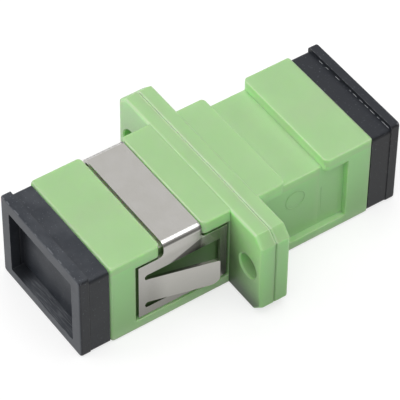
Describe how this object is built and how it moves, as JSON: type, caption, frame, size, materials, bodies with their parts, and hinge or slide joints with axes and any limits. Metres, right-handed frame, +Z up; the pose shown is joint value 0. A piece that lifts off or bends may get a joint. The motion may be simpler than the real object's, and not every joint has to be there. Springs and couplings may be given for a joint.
{
  "type": "sc fibre adapter",
  "caption": "Flanged panel adapter that joins square push-pull fibre plugs end to end, with a folded spring clip and a pull-off dust cap in each port.",
  "frame": {"origin": "centre of the line between the screw holes, on the optical axis, in the plane where the housing halves meet", "axes": "+X across the flange through the screw holes, +Y along the optical axis away from the spring clip, +Z up through the side with the key slots"},
  "size_m": [0.022, 0.0336, 0.0094],
  "materials": {
    "housing_plastic": "pale green injection-moulded plastic with a fine satin face",
    "latch_plastic": "natural off-white engineering plastic",
    "sleeve_ceramic": "ground and polished white ceramic",
    "clip_steel": "rolled spring strip, satin along its length",
    "cap_plastic": "charcoal soft plastic, slightly dusty"
  },
  "bodies": {
    "adapter": {"housing_front": "housing_plastic", "housing_rear": "housing_plastic", "latch_front": "latch_plastic", "latch_rear": "latch_plastic", "split_sleeve": "sleeve_ceramic", "panel_clip": "clip_steel"},
    "front_cap": {"dust_cap_front": "cap_plastic"},
    "rear_cap": {"dust_cap_rear": "cap_plastic"}
  },
  "joints": [
    {"name": "front_cap_pull", "type": "slide", "parent": "adapter", "child": "front_cap", "axis": [0, -1, 0], "range_m": [0, 0.012]},
    {"name": "rear_cap_pull", "type": "slide", "parent": "adapter", "child": "rear_cap", "axis": [0, 1, 0], "range_m": [0, 0.012]}
  ]
}
